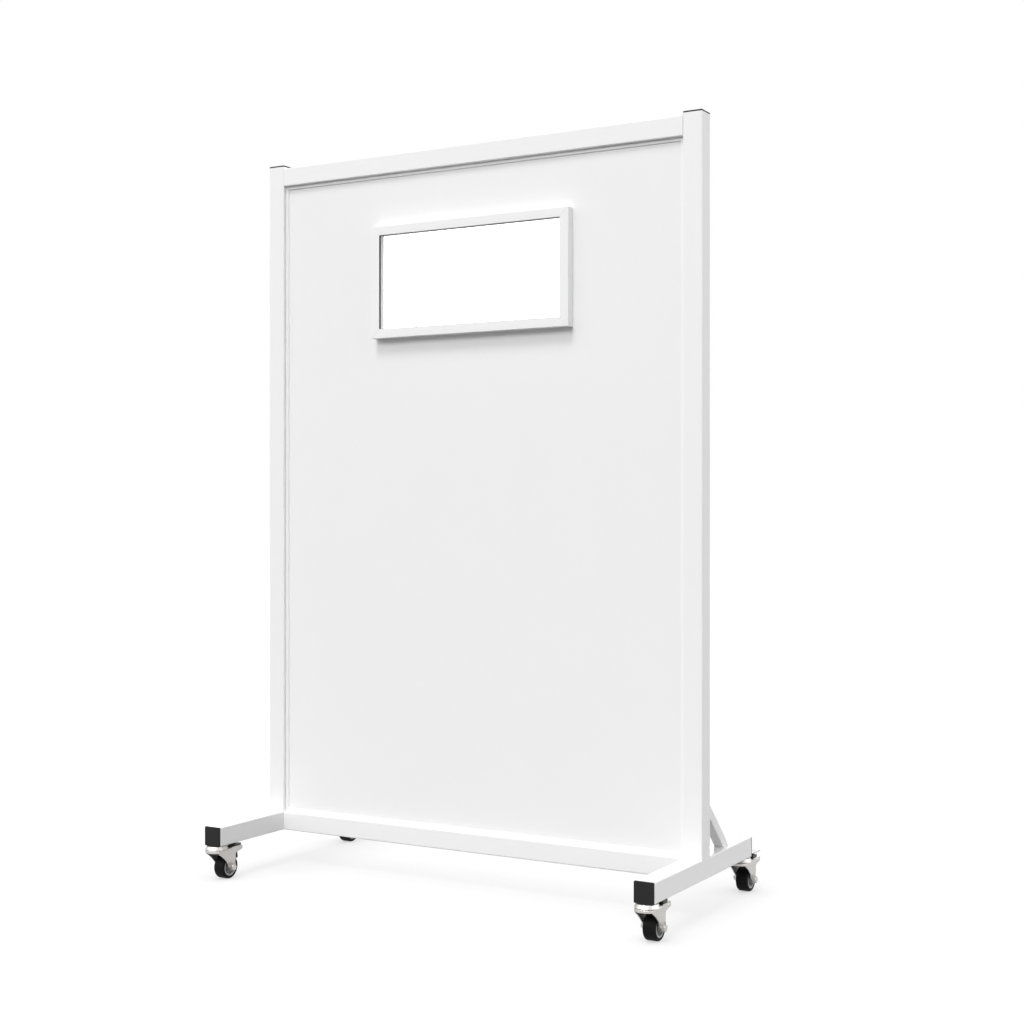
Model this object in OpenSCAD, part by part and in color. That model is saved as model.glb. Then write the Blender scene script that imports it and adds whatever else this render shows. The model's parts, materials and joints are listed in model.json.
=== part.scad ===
// Rolling partition: a panel with a viewing window in a square-tube frame on T feet
// and four braked swivel casters.
// +X is to the right, -Y is the front, +Z is up. The origin lies on the floor, midway
// between the posts and in their plane.

/* [Frame] */
// Overall width across the two posts
frame_w = 1320.8; // [900:0.1:1800]
// Overall height from the floor to the top of the post caps
frame_h = 1961; // [1900:1:2200]
// Side of the square frame tube
tube = 50.8; // [48:0.1:55]
// Wall thickness of the frame tube
tube_wall = 2; // [1.5:0.1:2.5]
// Outer corner radius of the frame tube
tube_r = 3; // [2.8:0.1:5]
// Length of a foot over its two end caps
foot_len = 600; // [500:1:700]
// Height of the post tubes' tops above the top rail
rail_drop = 5; // [1:0.5:20]
// Thickness of a plastic end cap's flange
cap_t = 4; // [3:0.5:6]

/* [Braces] */
// Side of the square brace tube
brace_tube = 25.4; // [20:0.1:30]
// Reach of a brace up the post and along the foot
brace_reach = 151; // [110:1:200]

/* [Panel] */
// Thickness of the whole panel
panel_t = 25.4; // [19:0.1:32]
// Thickness of the lead sheet inside it
lead_t = 1.6; // [0.8:0.1:3.2]
// Width of the retaining beads round the panel
bead_w = 9.5; // [8:0.5:12]
// Thickness of the retaining beads
bead_t = 3.2; // [2:0.1:5]

/* [Window] */
// Outer width of the raised window frame
window_w = 602; // [400:1:760]
// Outer height of the raised window frame
window_h = 302; // [200:1:320]
// Height of the window's middle above the floor
window_z = 1606.8; // [1450:0.1:1630]
// Side of the frame's square section
window_bar = 24.8; // [20:0.1:30]
// Thickness of the glass
glass_t = 8; // [6:0.5:10]

/* [Casters] */
// Height of a caster from the floor to the foot above it
caster_h = 95.25; // [94:0.05:97]
// Wheel diameter
wheel_d = 63.5; // [62:0.5:65]
// Tread width
wheel_w = 33; // [28:0.5:34]
// Distance of the wheel's axle behind the swivel axis
trail = 38; // [36.5:0.5:38.5]
// Distance of the swivel axis from the foot's end
swivel_inset = 18.5; // [17:0.5:24]
// Turn of the brake pedal from free to locked, in degrees
pedal_turn = 12; // [6:1:12]

/* [Hidden] */
CORNERS = ["fl", "fr", "rl", "rr"];
CASTER_PIECES = ["swivel_head", "ball_ring", "fork", "axle_bolt", "axle_sleeve",
                 "wheel_core", "tyre", "brake_pedal", "brake_shoe"];
$fn = 48;

// Frame levels and places
foot_z = caster_h;
post_z = foot_z + tube;
post_top = frame_h - cap_t;
rail_top = post_top - rail_drop;
rail_bottom = rail_top - tube;
post_x = (frame_w - tube) / 2;
opening_w = frame_w - 2 * tube;
opening_mid_z = (post_z + rail_bottom) / 2;
foot_tube_len = foot_len - 2 * cap_t;
white = "whitesmoke";

// End caps
cap_gap = 0.15;
cap_plug = 14;
cap_plug_wall = 2;
cap_edge = 0.8;

// Panel layers, front to back
panel_gap = 0.6;
panel_w = opening_w - 2 * panel_gap;
panel_h = rail_bottom - post_z - 2 * panel_gap;
board_t = (panel_t - lead_t) / 2;
panel_front = -panel_t / 2;
screw_pitch = 290;
screw_head_r = 3.6;
screw_head_h = 2;
screw_shank_r = 1.7;
bead_screw_len = 11;

// Open joint between two mitred strips
mitre_gap = 0.1;

// Window
sight_w = window_w - 2 * window_bar;
sight_h = window_h - 2 * window_bar;
glass_lap = 15.8;
glass_w = sight_w + 2 * glass_lap;
glass_h = sight_h + 2 * glass_lap;
glass_gap = 0.5;
gasket_t = 1.5;
gasket_w = 12;
seal_t = 0.5;
seal_depth = 6.5;
stop_w = 4;
stop_t = 7.6;
trim_t = 3;
trim_w = 16;
trim_reveal = 2;
window_screw_inset = 3.4;
window_screw_pitch = 180;

// Caster levels, measured on the floor at the swivel axis, +Y towards the axle
wheel_r = wheel_d / 2;
stem_r = 6;
stem_len = 32;
race_r = 30;
race_top = caster_h - 0.8;
race_ceiling = caster_h - 6.1;
race_rim = caster_h - 10.2;
crown_top = caster_h - 11;
sheet_t = 2.5;
crown_rim_h = 7.2;
kingpin_r = 6.95;
run_gap = 0.06;
ball_d = 4.76;
ball_circle_r = 20;
ball_count = 18;
fork_half = 24;
leg_half = 21.5;
leg_step = [wheel_r + 8, wheel_r + 18];
boss_r = 8.5;
leg_rear = trail + 12;
ear_start = race_r + 4;
ear_end = 79;
ear_top = crown_top + 1.5;
ear_slope = 12.5;
ear_r = 4;
axle_r = 5;
hub_half = leg_half - sheet_t - 0.6;
sleeve_r = 6.5;
rim_r = 23.5;
tyre_shoulder = 5;
pivot = [66, crown_top - 5.5];
pivot_r = 3;
pedal_half = 12;
pedal_top = caster_h - 1.3;
pedal_sheet = 1.6;
pedal_front = pivot[0] - 5;
box_end = 87;
box_top = caster_h - 7.6;
box_bottom = caster_h - 18.2;
lip_end = 114;
shoe_half = 9.9;
cam_r = 6;
shoe_gap = 0.35;

// Points of an arc about a centre, from one angle to another
function arc(centre, r, from, to, steps = 6) =
    [for (i = [0 : steps]) let (a = from + (to - from) * i / steps)
        centre + r * [cos(a), sin(a)]];

module rounded_square(side, r) {
    inner = side - 2 * r;
    square([side, inner], center = true);
    square([inner, side], center = true);
    for (x = [-1, 1], y = [-1, 1])
        translate([x * inner / 2, y * inner / 2])
            circle(r);
}

// Square tube along +Z from the origin
module square_tube(length, side, wall, r) {
    linear_extrude(length)
        difference() {
            rounded_square(side, r);
            rounded_square(side - 2 * wall, r - wall);
        }
}

module frame_tube(length) {
    square_tube(length, tube, tube_wall, tube_r);
}

// Extrudes a YZ outline along X, centred on x = 0
module across(width) {
    rotate([90, 0, 90])
        translate([0, 0, -width / 2])
            linear_extrude(width)
                children();
}

// Extrudes an XZ outline from y towards +Y by depth
module facing(y, depth) {
    translate([0, y + depth, 0])
        rotate([90, 0, 0])
            linear_extrude(depth)
                children();
}

// ---- Frame ----

module post(side) {
    color(white)
        translate([side * post_x, 0, post_z])
            frame_tube(post_top - post_z);
}

module rail(z) {
    color(white)
        translate([-opening_w / 2, 0, z + tube / 2])
            rotate([0, 90, 0])
                frame_tube(opening_w);
}

module foot(side) {
    color(white)
        translate([side * post_x, 0, foot_z + tube / 2])
            difference() {
                translate([0, -foot_tube_len / 2, 0])
                    rotate([-90, 0, 0])
                        frame_tube(foot_tube_len);
                for (end = [-1, 1])
                    translate([0, end * (foot_len / 2 - swivel_inset), -tube / 2 - 1])
                        cylinder(h = tube_wall + 2, r = stem_r + 0.3);
            }
}

// A square tube at 45 degrees, mitred to the post's back face and the foot's top
module brace(side) {
    corner_y = tube / 2;
    half_diagonal = brace_tube * sqrt(2) / 2;
    middle = (brace_reach - half_diagonal) / 2;
    color(white)
        translate([side * post_x, corner_y, post_z])
            intersection() {
                translate([0, middle, middle])
                    rotate([45, 0, 0])
                        translate([0, 0, -brace_reach])
                            square_tube(2 * brace_reach, brace_tube, tube_wall, 2.6);
                translate([-brace_tube, 0, 0])
                    cube([2 * brace_tube, brace_reach, brace_reach]);
            }
}

// End cap with its flange on z = 0 to cap_t; the plug below leaves one side open,
// so that it clears the caster nut in a foot
module end_cap() {
    plug = tube - 2 * tube_wall - 2 * cap_gap;
    plug_r = tube_r - tube_wall;
    color("#303030") {
        hull() {
            linear_extrude(cap_t - cap_edge)
                rounded_square(tube, tube_r, $fn = 32);
            linear_extrude(cap_t)
                rounded_square(tube - 2 * cap_edge, tube_r - cap_edge, $fn = 32);
        }
        translate([0, 0, -cap_plug])
            linear_extrude(cap_plug)
                difference() {
                    rounded_square(plug, plug_r);
                    translate([0, plug / 2 - cap_plug_wall - tube / 2])
                        square([plug - 2 * cap_plug_wall, tube], center = true);
                }
    }
}

module post_caps() {
    for (side = [-1, 1])
        translate([side * post_x, 0, post_top])
            end_cap();
}

module foot_caps() {
    for (side = [-1, 1], end = [-1, 1])
        translate([side * post_x, end * foot_tube_len / 2, foot_z + tube / 2])
            rotate([0, 0, end > 0 ? 180 : 0])
                rotate([90, 0, 0])
                    end_cap();
}

// ---- Panel ----

module board(y, depth) {
    facing(y, depth)
        difference() {
            translate([0, opening_mid_z])
                square([panel_w, panel_h], center = true);
            translate([0, window_z])
                square([glass_w + 2 * glass_gap, glass_h + 2 * glass_gap], center = true);
        }
}

module panel_front_board() {
    color("white") board(panel_front, board_t);
}

module panel_lead_sheet() {
    color("slategray") board(panel_front + board_t, lead_t);
}

module panel_rear_board() {
    color("white") board(panel_front + board_t + lead_t, board_t);
}

// Mitred strip along X, its outer long edge on z = 0 and its back on y = 0
module bead_strip(length) {
    end = (length - mitre_gap * sqrt(2)) / 2;
    intersection() {
        translate([-length / 2, 0, 0])
            rotate([90, 0, 90])
                linear_extrude(length)
                    polygon([[0, 0], [-bead_t, 0], [-bead_t, bead_w - 1.2],
                             [-bead_t + 1.2, bead_w], [0, bead_w]]);
        facing(-bead_t, bead_t)
            polygon([[-end, 0], [end, 0], [end - bead_w, bead_w], [bead_w - end, bead_w]]);
    }
}

// Four strips round the panel's front face; turned about Z they hold the rear face
module bead_frame() {
    width = opening_w - 0.4;
    height = rail_bottom - post_z - 0.4;
    color(white)
        translate([0, panel_front, opening_mid_z])
            for (turn = [0 : 3])
                rotate([0, turn * 90, 0])
                    translate([0, 0, -(turn % 2 == 0 ? height : width) / 2])
                        bead_strip(turn % 2 == 0 ? width : height);
}

module rear_beads() {
    rotate([0, 0, 180]) bead_frame();
}

// Pan-head screw pointing along -Y from a face at y = 0
module screw(length) {
    rotate([90, 0, 0]) {
        translate([0, 0, -screw_head_h])
            cylinder(h = screw_head_h, r1 = screw_head_r - 0.9, r2 = screw_head_r, $fn = 24);
        cylinder(h = length, r = screw_shank_r, $fn = 24);
    }
}

// Places children at equal steps close to a pitch along X, kept off both ends
module spread_x(length, pitch, end_gap) {
    span = length - 2 * end_gap;
    steps = max(1, round(span / pitch));
    for (i = [0 : steps])
        translate([-span / 2 + i * span / steps, 0, 0])
            children();
}

module bead_screws() {
    color("silver")
        translate([0, -panel_front + bead_t, opening_mid_z])
            for (turn = [0 : 3])
                rotate([0, turn * 90, 0])
                    translate([0, 0, bead_w / 2 - (turn % 2 == 0 ? panel_h : panel_w) / 2])
                        spread_x(turn % 2 == 0 ? panel_w : panel_h, screw_pitch, 60)
                            screw(bead_screw_len);
}

// ---- Window ----

module ring_outline(outer_w, outer_h, width) {
    translate([0, window_z])
        difference() {
            square([outer_w, outer_h], center = true);
            square([outer_w - 2 * width, outer_h - 2 * width], center = true);
        }
}

// Four strips of one width, mitred at the corners
module mitred_outline(outer_w, outer_h, width) {
    translate([0, window_z])
        for (turn = [0 : 3]) {
            length = turn % 2 == 0 ? outer_w : outer_h;
            across_h = turn % 2 == 0 ? outer_h : outer_w;
            end = (length - mitre_gap * sqrt(2)) / 2;
            rotate(turn * 90)
                translate([0, -across_h / 2])
                    polygon([[-end, 0], [end, 0], [end - width, width], [width - end, width]]);
        }
}

module window_frame_front() {
    color(white)
        facing(panel_front - window_bar, window_bar)
            mitred_outline(window_w, window_h, window_bar);
}

// Gasket between frame and glass, and the thin black seal on the frame's inner faces
module window_gasket() {
    color("dimgray") {
        facing(panel_front, gasket_t)
            ring_outline(glass_w, glass_h, gasket_w);
        facing(panel_front - window_bar + seal_t, seal_depth)
            ring_outline(sight_w, sight_h, seal_t);
    }
}

module window_glass() {
    color("azure", 0.5)
        facing(panel_front + gasket_t, glass_t)
            translate([0, window_z])
                square([glass_w, glass_h], center = true);
}

module window_stop() {
    color(white)
        facing(panel_front + gasket_t + glass_t, stop_t)
            mitred_outline(glass_w, glass_h, stop_w);
}

module window_trim_rear() {
    lap = trim_reveal + trim_w;
    color(white)
        facing(-panel_front, trim_t)
            mitred_outline(glass_w + 2 * lap, glass_h + 2 * lap, trim_w);
}

module window_screws() {
    ring_w = window_w - 2 * window_screw_inset;
    ring_h = window_h - 2 * window_screw_inset;
    length = trim_t + panel_t + window_bar / 2;
    color("silver")
        translate([0, -panel_front + trim_t, window_z])
            for (turn = [0 : 3])
                rotate([0, turn * 90, 0])
                    translate([0, 0, -(turn % 2 == 0 ? ring_h : ring_w) / 2])
                        spread_x(turn % 2 == 0 ? ring_w : ring_h, window_screw_pitch,
                                 turn % 2 == 0 ? 20 : 60)
                            screw(length);
}

// ---- Casters ----
// Each module below is drawn at its own swivel axis on the floor, +Y towards the axle.

module at_caster(corner) {
    side = corner[1] == "l" ? -1 : 1;
    end = corner[0] == "f" ? -1 : 1;
    translate([side * post_x, end * (foot_len / 2 - swivel_inset), 0])
        children();
}

module caster_nuts() {
    color("silver")
        for (corner = CORNERS)
            at_caster(corner)
                translate([0, 0, foot_z + tube_wall])
                    difference() {
                        rotate(30)
                            cylinder(h = 9, r = 18 / sqrt(3), $fn = 6);
                        translate([0, 0, -1])
                            cylinder(h = 11, r = stem_r + 0.05);
                    }
}

// Stem, collar, tapered upper race and kingpin with its peened head, in one turned piece
module swivel_head() {
    color("gainsboro")
        rotate_extrude($fn = 96)
            polygon(concat(
                [[0, crown_top - sheet_t - 3.4], [9.5, crown_top - sheet_t - 3.4]],
                arc([9.5, crown_top - sheet_t - 1.9], 1.5, -90, 0, 3),
                [[11, crown_top - sheet_t - run_gap],
                 [kingpin_r, crown_top - sheet_t - run_gap],
                 [kingpin_r, race_ceiling],
                 [race_r - 4.5, race_ceiling],
                 [race_r - 3, race_rim]],
                arc([race_r - 0.8, race_rim + 0.8], 0.8, -90, 0, 3),
                arc([race_r - 5.5, race_top - 2], 2, 15, 90, 4),
                [[12, race_top], [12, caster_h], [stem_r, caster_h],
                 [stem_r, caster_h + stem_len - 1],
                 [stem_r - 1, caster_h + stem_len],
                 [0, caster_h + stem_len]]));
}

module ball_ring() {
    color("lightgray")
        for (i = [0 : ball_count - 1])
            rotate(i * 360 / ball_count)
                translate([ball_circle_r, 0, crown_top + ball_d / 2 + 0.02])
                    sphere(d = ball_d, $fn = 24);
}

// Height of the ears' slanted underside at a distance behind the swivel axis
function ear_under(y) = crown_top - 16 + (y - leg_rear) * tan(ear_slope);

// Side of the fork: wheel arch at the front, axle boss below, brake ear at the rear
module fork_side() {
    crown_front = -sqrt(race_r * race_r - fork_half * fork_half);
    fillet = 6;
    fillet_y = leg_rear + fillet;
    tip_y = ear_end - ear_r;
    polygon(concat(
        [[crown_front, crown_top], [crown_front, crown_top - crown_rim_h]],
        arc([trail - 103, -20], 105, 61, 30, 10),
        arc([trail, wheel_r], boss_r, 200, 355, 12),
        [[leg_rear, wheel_r + 11]],
        arc([fillet_y, ear_under(fillet_y) - fillet / cos(ear_slope)], fillet,
            180, 90 + ear_slope, 5),
        arc([tip_y, ear_under(tip_y) + ear_r / cos(ear_slope)], ear_r, ear_slope - 90, 0, 5),
        arc([tip_y, ear_top - ear_r], ear_r, 0, 90, 5),
        [[ear_start + 2, ear_top], [ear_start, crown_top]]));
}

// Section of the pressed channel: two legs, drawn in towards the axle, and the crown
module arch_outline(inset, top, r) {
    upper = fork_half - inset;
    lower = leg_half - inset;
    polygon([[-lower, 0], [lower, 0], [lower, leg_step[0]], [upper, leg_step[1]],
             [upper, top - r], [-upper, top - r], [-upper, leg_step[1]],
             [-lower, leg_step[0]]]);
    translate([r - upper, 0])
        square([2 * (upper - r), top]);
    for (x = [-1, 1])
        translate([x * (upper - r), top - r])
            circle(r);
}

module fork_channel() {
    bend = 4;
    difference() {
        arch_outline(0, crown_top, bend);
        translate([0, -1])
            arch_outline(sheet_t, crown_top - sheet_t + 1, bend - sheet_t);
    }
}

// Round front of the crown over the wheel, cut off flush with the two legs
module fork_crown() {
    intersection() {
        rotate_extrude($fn = 96)
            polygon(concat(
                [[kingpin_r + run_gap, crown_top - sheet_t],
                 [race_r - sheet_t, crown_top - sheet_t],
                 [race_r - sheet_t, crown_top - crown_rim_h],
                 [race_r, crown_top - crown_rim_h]],
                arc([race_r - 2, crown_top - 2], 2, 0, 90, 4),
                [[kingpin_r + run_gap, crown_top]]));
        translate([-fork_half, -race_r, 0])
            cube([2 * fork_half, race_r, caster_h]);
    }
}

// Both ears, flat up to their top edge
module fork_ears() {
    for (x = [-fork_half, fork_half - sheet_t])
        translate([x, ear_start, leg_step[1]])
            cube([sheet_t, ear_end, caster_h]);
}

module fork() {
    color("gainsboro")
        difference() {
            union() {
                fork_crown();
                intersection() {
                    across(2 * fork_half)
                        fork_side();
                    union() {
                        translate([0, 100, 0])
                            rotate([90, 0, 0])
                                linear_extrude(150)
                                    fork_channel();
                        fork_ears();
                    }
                }
            }
            // Bore for the kingpin, and the opening between the ears for the pedal
            translate([0, 0, crown_top - 10])
                cylinder(h = 20, r = kingpin_r + run_gap);
            translate([sheet_t - fork_half, ear_start, crown_top - 10])
                cube([2 * (fork_half - sheet_t), ear_end, 20]);
            at_axle(0)
                cylinder(h = 3 * fork_half, r = axle_r + 0.05, center = true);
            at_pivot(0)
                cylinder(h = 3 * fork_half, r = pivot_r + run_gap, center = true);
        }
}

// Frames with +Z turned along +X, on the axle and on the pedal's pivot
module at_axle(x) {
    translate([x, trail, wheel_r])
        rotate([0, 90, 0])
            children();
}

module at_pivot(x) {
    translate([x, pivot[0], pivot[1]])
        rotate([0, 90, 0])
            children();
}

// Axle bolt with its washer and hexagon head on the +X side and a lock nut on the -X
// side, and the pedal's riveted pin
module axle_bolt() {
    head_h = 6.8;
    washer_t = 2;
    nut_h = 8.4;
    hexagon_r = 16 / sqrt(3);
    color("silver") {
        at_axle(-leg_half - nut_h - 2.4)
            cylinder(h = 2 * leg_half + nut_h + 2.4 + washer_t, r = axle_r);
        at_axle(leg_half)
            cylinder(h = washer_t, r = 9.5);
        at_axle(leg_half + washer_t)
            intersection() {
                cylinder(h = head_h, r = hexagon_r, $fn = 6);
                cylinder(h = head_h, r1 = 11, r2 = 8);
            }
        at_axle(-leg_half - nut_h)
            difference() {
                intersection() {
                    cylinder(h = nut_h, r = hexagon_r, $fn = 6);
                    cylinder(h = nut_h, r1 = 7, r2 = 12);
                }
                translate([0, 0, -1])
                    cylinder(h = nut_h + 2, r = axle_r + 0.05);
            }
        at_pivot(0) {
            cylinder(h = 2 * fork_half + 1, r = pivot_r, center = true);
            for (side = [0, 180])
                rotate([side, 0, 0])
                    translate([0, 0, fork_half])
                        cylinder(h = 1, r1 = 4.6, r2 = 3.4);
        }
    }
}

module axle_sleeve() {
    length = 2 * (leg_half - sheet_t) - 0.1;
    color("darkgray")
        at_axle(-length / 2)
            difference() {
                cylinder(h = length, r = sleeve_r);
                translate([0, 0, -1])
                    cylinder(h = length + 2, r = axle_r + 0.05);
            }
}

// Moulded wheel core: barrel, web, rim and ribs
module wheel_core() {
    web = 3;
    rib_count = 6;
    rim_half = wheel_w / 2 - 1;
    color("darkgray")
        at_axle(0) {
            rotate_extrude($fn = 72)
                polygon([for (side = [1, -1])
                    each side > 0
                        ? [[sleeve_r + run_gap, hub_half], [10.5, hub_half], [11.5, web],
                           [rim_r - 5, web], [rim_r - 4, rim_half], [rim_r, rim_half]]
                        : [[rim_r, -rim_half], [rim_r - 4, -rim_half],
                           [rim_r - 5, -web], [11.5, -web], [10.5, -hub_half],
                           [sleeve_r + run_gap, -hub_half]]]);
            for (i = [0 : rib_count - 1])
                rotate(i * 360 / rib_count)
                    translate([10, -0.8, -8])
                        cube([rim_r - 14, 1.6, 16]);
        }
}

// Tyre with a flat tread and round shoulders
module tyre() {
    half = wheel_w / 2;
    tread_half = half - tyre_shoulder;
    color("#202020")
        at_axle(0)
            rotate_extrude($fn = 96)
                polygon(concat(
                    [[rim_r, -half + 0.8], [rim_r + 0.8, -half]],
                    arc([wheel_r - tyre_shoulder, -tread_half], tyre_shoulder, -90, 0),
                    arc([wheel_r - tyre_shoulder, tread_half], tyre_shoulder, 0, 90),
                    [[rim_r + 0.8, half], [rim_r, half - 0.8]]));
}

// Side of the pedal's box: round the pivot, and up in front to the lip under the foot
module pedal_cheek() {
    polygon(concat(
        arc(pivot, 6, 165, 280, 6),
        [pivot + [11, -2], [box_end, box_bottom], [box_end, box_top],
         [pedal_front + 6, box_top], [pedal_front + 4, pedal_top],
         [pedal_front, pedal_top], [pedal_front, pivot[1] + 4]]));
}

// Lip of the pedal, a flat plate with a rounded rear end
module pedal_lip() {
    r = 4;
    inner = pedal_half - r;
    translate([0, 0, pedal_top - pedal_sheet])
        linear_extrude(pedal_sheet) {
            translate([-pedal_half, pedal_front])
                square([2 * pedal_half, lip_end - pedal_front - r]);
            translate([-inner, pedal_front])
                square([2 * inner, lip_end - pedal_front]);
            for (x = [-inner, inner])
                translate([x, lip_end - r])
                    circle(r);
        }
}

// Plate across the pedal, between two Y and two Z levels
module pedal_plate(from, to, bottom, top) {
    translate([-pedal_half, from, bottom])
        cube([2 * pedal_half, to - from, top - bottom]);
}

// Pedal: a box of two cheeks, a cover and a rear web between the ears, and a long lip
// above it, carried by a front web
module brake_pedal() {
    inner = pedal_half - pedal_sheet;
    color("#3a3a3a")
        difference() {
            union() {
                difference() {
                    across(2 * pedal_half)
                        pedal_cheek();
                    translate([-inner, 0, 0])
                        cube([2 * inner, 2 * box_end, 2 * pedal_top]);
                }
                pedal_lip();
                pedal_plate(pedal_front, pedal_front + pedal_sheet,
                            pivot[1] + cam_r + 0.2, pedal_top);
                pedal_plate(pedal_front, box_end, box_top - pedal_sheet, box_top);
                pedal_plate(box_end - pedal_sheet, box_end, box_bottom, box_top);
            }
            at_pivot(0)
                cylinder(h = 3 * pedal_half, r = pivot_r + run_gap, center = true);
        }
}

// Cam shoe under the pedal, drawn locked against the tyre
module shoe_outline() {
    axle = [trail, wheel_r];
    face_r = wheel_r + shoe_gap;
    back_r = face_r + 5;
    polygon(concat(
        arc(axle, face_r, 30, 54),
        [axle + back_r * [cos(54), sin(54)]],
        arc(pivot, cam_r, 190, -10, 12),
        [axle + back_r * [cos(30), sin(30)]]));
}

module brake_shoe() {
    color("#202020")
        difference() {
            across(2 * shoe_half)
                translate(pivot)
                    rotate(pedal_turn)
                        translate(-pivot)
                            shoe_outline();
            at_pivot(0)
                cylinder(h = 3 * shoe_half, r = pivot_r + 0.05, center = true);
        }
}

post(-1);  // post_left
post(1);  // post_right
rail(rail_bottom);  // top_rail
rail(foot_z);  // bottom_rail
foot(-1);  // foot_left
foot(1);  // foot_right
brace(-1);  // brace_left
brace(1);  // brace_right
post_caps();
foot_caps();
panel_front_board();
panel_lead_sheet();
panel_rear_board();
bead_frame();  // front_beads
rear_beads();
bead_screws();
window_frame_front();
window_glass();
window_gasket();
window_stop();
window_trim_rear();
window_screws();
caster_nuts();

for (corner = CORNERS) {
    at_caster(corner) swivel_head();
    at_caster(corner) ball_ring();
    at_caster(corner) fork();
    at_caster(corner) axle_bolt();
    at_caster(corner) axle_sleeve();
    at_caster(corner) wheel_core();
    at_caster(corner) tyre();
    at_caster(corner) brake_pedal();
    at_caster(corner) brake_shoe();
}
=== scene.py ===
"""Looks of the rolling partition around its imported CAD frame, in metres.

Finishes and eased edges on the CAD pieces, soft studio light, a white floor, and a camera
at the photograph's viewing angle.
"""

import json
import math

import bmesh
import bpy
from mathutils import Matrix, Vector

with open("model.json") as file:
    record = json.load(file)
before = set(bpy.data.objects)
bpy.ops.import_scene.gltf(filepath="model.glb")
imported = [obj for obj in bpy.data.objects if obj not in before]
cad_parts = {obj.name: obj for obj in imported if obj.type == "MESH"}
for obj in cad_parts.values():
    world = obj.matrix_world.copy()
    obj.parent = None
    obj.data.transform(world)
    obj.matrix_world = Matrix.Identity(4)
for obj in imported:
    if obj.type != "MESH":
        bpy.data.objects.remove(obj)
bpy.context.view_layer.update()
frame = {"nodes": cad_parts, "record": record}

MM = 0.001
WHITE = (1, 1, 1, 1)

# The photograph's camera, level, fitted to the frame's edges
CAMERA_PLACE = (2.2067, -3.6180, 0.98705)
CAMERA_TURN = math.radians(30.02)
CAMERA_REACH = 200.0
SENSOR_MM = 36.0
FOCAL_PIXELS = 1609.4
PICTURE_PIXELS = 1024

# Most of a noise's values lie between these
NOISE_LOW = 0.3
NOISE_HIGH = 0.7

# Edges broken on CAD nodes: node, width and number of segments
EASED_EDGES = (
    ("front_beads", 0.4 * MM, 2),
    ("rear_beads", 0.4 * MM, 2),
    ("window_trim_rear", 0.4 * MM, 2),
    ("window_frame_front", 1.0 * MM, 3),
    ("window_stop", 1.0 * MM, 3),
)
SHARP_EDGE = math.radians(35)
WELD_DISTANCE = 0.002 * MM

# Light of the world on the object
WORLD_FILL = 0.04

# The floor: half its side, its colour for bounced light and in its shadows, and the
# strength of the white that is seen
FLOOR_HALF = 30.0
FLOOR_BOUNCE = 0.2
FLOOR_TONE = 0.94
FLOOR_WHITE = 1.08
# Share of its look that comes from real light near the object, and the distances from the
# origin over which that share fades out
FLOOR_SHADOW = 0.12
SHADOW_FADE = (1.2, 3.0)
# Painted shade: darkening of the white close under the object, by its occlusion, and how far
# it reaches
PAINTED_SHADE = 0.45
PAINTED_SHADE_REACH = 0.22

# Sun-like soft lamps: name, elevation and azimuth in degrees (0 is the front, 90 is +X),
# angular size, and light on a surface that faces it (1 shows a colour as written)
SUNS = (
    ("upper", 62, 0, 20, 0.55),
    ("front", 30, 0, 26, 0.40),
    ("left", 30, -50, 50, 0.31),
    ("right", 12, 80, 50, 0.36),
    ("rear_right", 20, 125, 40, 0.34),
    ("back", 6, 205, 30, 0.50),
)
LAMP_DISTANCE = 6.0


# ---- Node helpers; an owner is a material or the world ----


def add_node(owner, kind, **values):
    """A node of that kind; values go to its properties, or to its sockets by their names."""
    node = owner.node_tree.nodes.new(kind)
    for name, value in values.items():
        socket = name.replace("_", " ").title()
        if socket in node.inputs:
            node.inputs[socket].default_value = value
        else:
            setattr(node, name, value)
    return node


def join(owner, output, socket):
    owner.node_tree.links.new(output, socket)


def mix_shaders(owner, factor, first, second):
    """The first shader where the factor is 0 and the second where it is 1."""
    mix = add_node(owner, "ShaderNodeMixShader")
    join(owner, factor, mix.inputs["Fac"])
    join(owner, first, mix.inputs[1])
    join(owner, second, mix.inputs[2])
    return mix.outputs["Shader"]


def grey(level):
    return (level, level, level)


def new_material(name, roughness, metallic=0.0, gloss=0.5):
    """A material with its shader; roughness is about the mean where a noise varies it."""
    material = bpy.data.materials.new(name)
    material.use_nodes = True
    shader = material.node_tree.nodes["Principled BSDF"]
    shader.inputs["Roughness"].default_value = roughness
    shader.inputs["Metallic"].default_value = metallic
    shader.inputs["Specular IOR Level"].default_value = gloss
    return material, shader


def noise(material, waves, detail=2.0, stretch=(1, 1, 1)):
    """Noise over the piece's own coordinates, in waves per metre."""
    place = add_node(material, "ShaderNodeTexCoord").outputs["Object"]
    if stretch != (1, 1, 1):
        mapping = add_node(material, "ShaderNodeMapping", scale=stretch)
        join(material, place, mapping.inputs["Vector"])
        place = mapping.outputs["Vector"]
    texture = add_node(material, "ShaderNodeTexNoise", scale=waves, detail=detail)
    join(material, place, texture.inputs["Vector"])
    return texture.outputs["Fac"]


def vary_roughness(material, shader, factor, low, high):
    """Roughness between two values, over the middle of a noise."""
    ramp = add_node(
        material, "ShaderNodeMapRange",
        from_min=NOISE_LOW, from_max=NOISE_HIGH, to_min=low, to_max=high,
    )
    join(material, factor, ramp.inputs["Value"])
    join(material, ramp.outputs["Result"], shader.inputs["Roughness"])


def vary_colour(material, shader, factor, dark, light):
    """Base colour between two close tones."""
    mix = add_node(material, "ShaderNodeMix", data_type="RGBA")
    # The colour sockets are the ones of the RGBA kind, after those for numbers and vectors
    first, second = [socket for socket in mix.inputs if socket.type == "RGBA"]
    first.default_value = (*dark, 1)
    second.default_value = (*light, 1)
    join(material, factor, mix.inputs["Factor"])
    result = [socket for socket in mix.outputs if socket.type == "RGBA"][0]
    join(material, result, shader.inputs["Base Color"])


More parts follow.
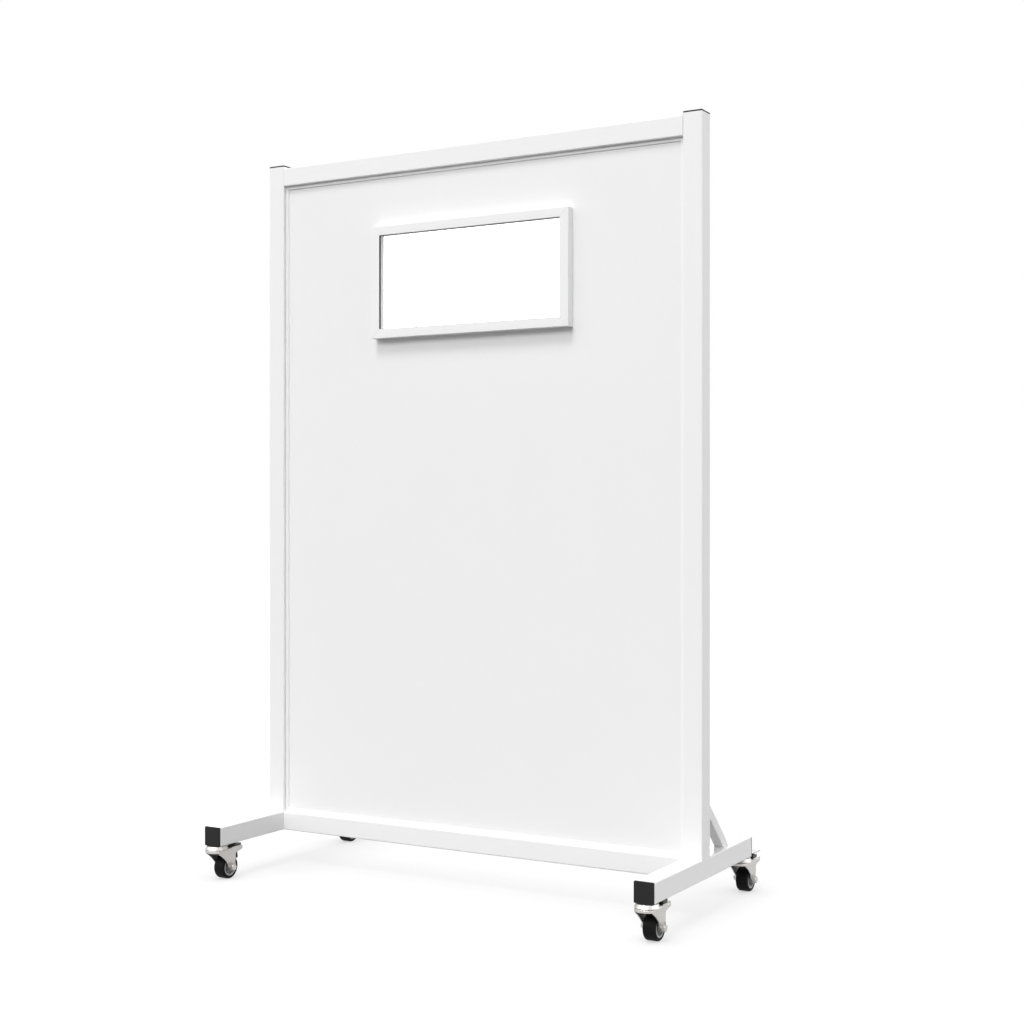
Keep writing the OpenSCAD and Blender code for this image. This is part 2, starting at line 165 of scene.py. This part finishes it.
def bump(material, shader, height, depth, below=None):
    """Bump from a height of that depth in metres, over another bump if one is given."""
    node = add_node(material, "ShaderNodeBump", strength=1.0, distance=depth)
    join(material, height, node.inputs["Height"])
    if below is not None:
        join(material, below, node.inputs["Normal"])
    join(material, node.outputs["Normal"], shader.inputs["Normal"])
    return node.outputs["Normal"]


# ---- Materials ----


def powder_coat():
    """Satin white powder coat with a faint orange peel."""
    material, shader = new_material("white_powder_coat", roughness=0.4)
    vary_colour(material, shader, noise(material, waves=6), grey(0.855), grey(0.868))
    vary_roughness(material, shader, noise(material, waves=60), low=0.36, high=0.44)
    bump(material, shader, noise(material, waves=420, detail=1.5), depth=0.06 * MM)
    return material


def laminate():
    """Smooth white laminate of the boards, a little flatter than the paint."""
    material, shader = new_material("white_laminate", roughness=0.5)
    vary_colour(material, shader, noise(material, waves=4), grey(0.845), grey(0.858))
    vary_roughness(material, shader, noise(material, waves=45), low=0.46, high=0.54)
    bump(material, shader, noise(material, waves=900, detail=3), depth=0.03 * MM)
    return material


def black_plastic():
    """Moulded cap plastic with a fine spark-eroded texture."""
    material, shader = new_material("black_plastic", roughness=0.55, gloss=0.2)
    vary_colour(material, shader, noise(material, waves=30), grey(0.008), grey(0.012))
    vary_roughness(material, shader, noise(material, waves=200), low=0.5, high=0.62)
    bump(material, shader, noise(material, waves=2200, detail=3), depth=0.05 * MM)
    return material


def zinc_plate():
    """Bright zinc plate: slightly warm, with soft cloudy patches and drawn sheet lines."""
    material, shader = new_material("zinc_plate", roughness=0.42, metallic=1.0)
    patches = noise(material, waves=90, detail=4)
    vary_colour(material, shader, patches, (0.44, 0.425, 0.41), (0.54, 0.525, 0.51))
    clouds = noise(material, waves=160, detail=3)
    vary_roughness(material, shader, clouds, low=0.36, high=0.5)
    grain = noise(material, waves=500, stretch=(1, 1, 0.25))
    grained = bump(material, shader, grain, depth=0.06 * MM)
    lines = noise(material, waves=2400, stretch=(1, 0.06, 1))
    bump(material, shader, lines, depth=0.02 * MM, below=grained)
    return material


def bearing_steel():
    """Polished steel of the ball rings."""
    material, shader = new_material("bearing_steel", roughness=0.12, metallic=1.0)
    vary_colour(material, shader, noise(material, waves=300), grey(0.66), grey(0.74))
    return material


def wheel_plastic():
    """Moulded grey plastic of the wheel cores."""
    material, shader = new_material("grey_plastic", roughness=0.45)
    tones = noise(material, waves=120)
    vary_colour(material, shader, tones, (0.36, 0.36, 0.365), (0.4, 0.4, 0.405))
    bump(material, shader, noise(material, waves=1500), depth=0.03 * MM)
    return material


def tyre_rubber():
    """Matt black tyre with fine moulded lines round the tread and faint scuffs."""
    material, shader = new_material("tyre_rubber", roughness=0.6, gloss=0.1)
    tones = noise(material, waves=250, detail=3)
    vary_colour(material, shader, tones, grey(0.004), grey(0.007))
    vary_roughness(material, shader, noise(material, waves=350), low=0.52, high=0.68)
    scuffs = noise(material, waves=1400, detail=3)
    scuffed = bump(material, shader, scuffs, depth=0.06 * MM)
    lines = noise(material, waves=450, detail=1, stretch=(1, 0.02, 0.02))
    bump(material, shader, lines, depth=0.25 * MM, below=scuffed)
    return material


def rubber_and_painted_shade():
    """Matt black rubber of the window gasket and the brake shoes; on the gasket's lining
    along the frame's inner faces this black is painted shade in the reveal.
    """
    material, shader = new_material("black_rubber", roughness=0.7, gloss=0.25)
    vary_colour(material, shader, noise(material, waves=200), grey(0.016), grey(0.024))
    bump(material, shader, noise(material, waves=1800), depth=0.05 * MM)
    return material


def pedal_coat():
    """Black coat on the pedal's sheet steel."""
    material, shader = new_material("black_coat", roughness=0.42)
    tones = noise(material, waves=160, detail=3)
    vary_colour(material, shader, tones, grey(0.02), grey(0.03))
    vary_roughness(material, shader, noise(material, waves=220), low=0.36, high=0.5)
    bump(material, shader, noise(material, waves=900), depth=0.05 * MM)
    return material


def lead_sheet():
    """Dull rolled lead, hidden between the boards."""
    material, shader = new_material("lead_sheet", roughness=0.55, metallic=1.0)
    tones = noise(material, waves=25, detail=4)
    vary_colour(material, shader, tones, (0.16, 0.165, 0.175), (0.26, 0.265, 0.28))
    return material


def window_glass():
    """Clear polished glass."""
    material, shader = new_material("window_glass", roughness=0.0)
    shader.inputs["Base Color"].default_value = WHITE
    shader.inputs["Transmission Weight"].default_value = 1.0
    shader.inputs["IOR"].default_value = 1.5
    bump(material, shader, noise(material, waves=8, detail=1), depth=0.002 * MM)
    return material


FINISHES = {
    "white_paint": powder_coat,
    "white_board": laminate,
    "lead": lead_sheet,
    "window_glass": window_glass,
    # The gasket's black lining on the frame's inner faces is painted shade in the reveal;
    # the rest of the gasket and the brake shoes are real black rubber
    "gasket_rubber": rubber_and_painted_shade,
    "black_plastic": black_plastic,
    "zinc": zinc_plate,
    "bearing_steel": bearing_steel,
    "grey_plastic": wheel_plastic,
    "black_tyre": tyre_rubber,
    "black_paint": pedal_coat,
    "black_rubber": rubber_and_painted_shade,
}


def dress_nodes():
    """Gives each CAD node the finish of its slot in the record."""
    made = {slot: build() for slot, build in FINISHES.items()}
    for row in frame["record"]["subparts"]:
        piece = frame["nodes"][row["node"]]
        finish = made[row["material_slot"]]
        for slot in piece.material_slots:
            slot.material = finish


def ease_edges(name, width, segments):
    """Breaks the sharp edges of a CAD node; its own mesh stays as it was packed."""
    piece = frame["nodes"][name]
    weld = piece.modifiers.new("weld", "WELD")
    weld.merge_threshold = WELD_DISTANCE
    bevel = piece.modifiers.new("edges", "BEVEL")
    bevel.width = width
    bevel.segments = segments
    bevel.limit_method = "ANGLE"
    bevel.angle_limit = SHARP_EDGE
    bevel.use_clamp_overlap = False
    normals = piece.modifiers.new("normals", "WEIGHTED_NORMAL")
    normals.keep_sharp = False


# ---- Camera, floor and light ----


def place_camera():
    """The photograph's camera."""
    data = bpy.data.cameras.new("camera")
    data.sensor_width = SENSOR_MM
    data.lens = FOCAL_PIXELS / PICTURE_PIXELS * SENSOR_MM
    data.clip_end = CAMERA_REACH
    camera = bpy.data.objects.new("camera", data)
    camera.location = CAMERA_PLACE
    camera.rotation_euler = (math.pi / 2, 0, CAMERA_TURN)
    bpy.context.scene.collection.objects.link(camera)
    bpy.context.scene.camera = camera


def seen_rays(owner):
    """1 for the rays that show a background: camera, glossy and transmitted ones."""
    path = add_node(owner, "ShaderNodeLightPath")
    total = path.outputs["Is Camera Ray"]
    for name in ("Is Glossy Ray", "Is Transmission Ray"):
        either = add_node(owner, "ShaderNodeMath", operation="MAXIMUM")
        join(owner, total, either.inputs[0])
        join(owner, path.outputs[name], either.inputs[1])
        total = either.outputs["Value"]
    return total


def make_world():
    """A faint even fill that is seen as plain white."""
    world = bpy.data.worlds.new("studio")
    world.use_nodes = True
    world.node_tree.nodes.clear()
    fill = add_node(world, "ShaderNodeBackground", color=WHITE, strength=WORLD_FILL)
    white = add_node(world, "ShaderNodeBackground", color=WHITE)
    look = mix_shaders(
        world, seen_rays(world), fill.outputs["Background"], white.outputs["Background"]
    )
    output = add_node(world, "ShaderNodeOutputWorld")
    join(world, look, output.inputs["Surface"])
    bpy.context.scene.world = world


def floor_paper():
    """White paper that shows the object's real shadow faintly near it, with painted shade
    close under it, and white beyond.
    """
    material = bpy.data.materials.new("white_floor")
    material.use_nodes = True
    material.node_tree.nodes.clear()
    bounce = add_node(material, "ShaderNodeBsdfDiffuse", color=(*grey(FLOOR_BOUNCE), 1))
    shaded = add_node(material, "ShaderNodeBsdfDiffuse", color=(*grey(FLOOR_TONE), 1))

    # The white, with a soft painted shade where the casters stand
    painted_shade_ao = add_node(material, "ShaderNodeAmbientOcclusion", distance=PAINTED_SHADE_REACH)
    white_with_painted_shade = add_node(
        material, "ShaderNodeMapRange", to_min=FLOOR_WHITE * (1 - PAINTED_SHADE), to_max=FLOOR_WHITE
    )
    join(material, painted_shade_ao.outputs["AO"], white_with_painted_shade.inputs["Value"])
    white = add_node(material, "ShaderNodeEmission")
    join(material, white_with_painted_shade.outputs["Result"], white.inputs["Strength"])

    # The share of the white over the shaded paper, by the distance from the origin
    place = add_node(material, "ShaderNodeNewGeometry")
    distance = add_node(material, "ShaderNodeVectorMath", operation="LENGTH")
    join(material, place.outputs["Position"], distance.inputs[0])
    fade = add_node(
        material, "ShaderNodeMapRange", interpolation_type="SMOOTHSTEP",
        from_min=SHADOW_FADE[0], from_max=SHADOW_FADE[1],
        to_min=1 - FLOOR_SHADOW, to_max=1.0,
    )
    join(material, distance.outputs["Value"], fade.inputs["Value"])

    seen = mix_shaders(
        material, fade.outputs["Result"], shaded.outputs["BSDF"], white.outputs["Emission"]
    )
    look = mix_shaders(material, seen_rays(material), bounce.outputs["BSDF"], seen)
    output = add_node(material, "ShaderNodeOutputMaterial")
    join(material, look, output.inputs["Surface"])
    return material


def make_floor():
    """The floor, which isn't part of the object."""
    mesh = bpy.data.meshes.new("floor")
    shape = bmesh.new()
    bmesh.ops.create_grid(shape, x_segments=1, y_segments=1, size=FLOOR_HALF)
    shape.to_mesh(mesh)
    shape.free()
    mesh.materials.append(floor_paper())
    floor = bpy.data.objects.new("floor", mesh)
    bpy.context.scene.collection.objects.link(floor)


def make_lamps():
    """The soft lamps, each turned towards the origin."""
    for name, elevation, azimuth, size, level in SUNS:
        data = bpy.data.lights.new(name, "SUN")
        data.energy = level * math.pi
        data.angle = math.radians(size)
        lamp = bpy.data.objects.new(name, data)
        up, round_z = math.radians(elevation), math.radians(azimuth)
        towards = Vector((
            math.cos(up) * math.sin(round_z), -math.cos(up) * math.cos(round_z), math.sin(up)
        ))
        lamp.rotation_euler = towards.to_track_quat("Z", "Y").to_euler()
        lamp.location = towards * LAMP_DISTANCE
        bpy.context.scene.collection.objects.link(lamp)


dress_nodes()
for node_name, edge_width, edge_segments in EASED_EDGES:
    ease_edges(node_name, edge_width, edge_segments)
make_floor()
make_world()
make_lamps()
place_camera()
bpy.context.scene.view_settings.view_transform = "Standard"
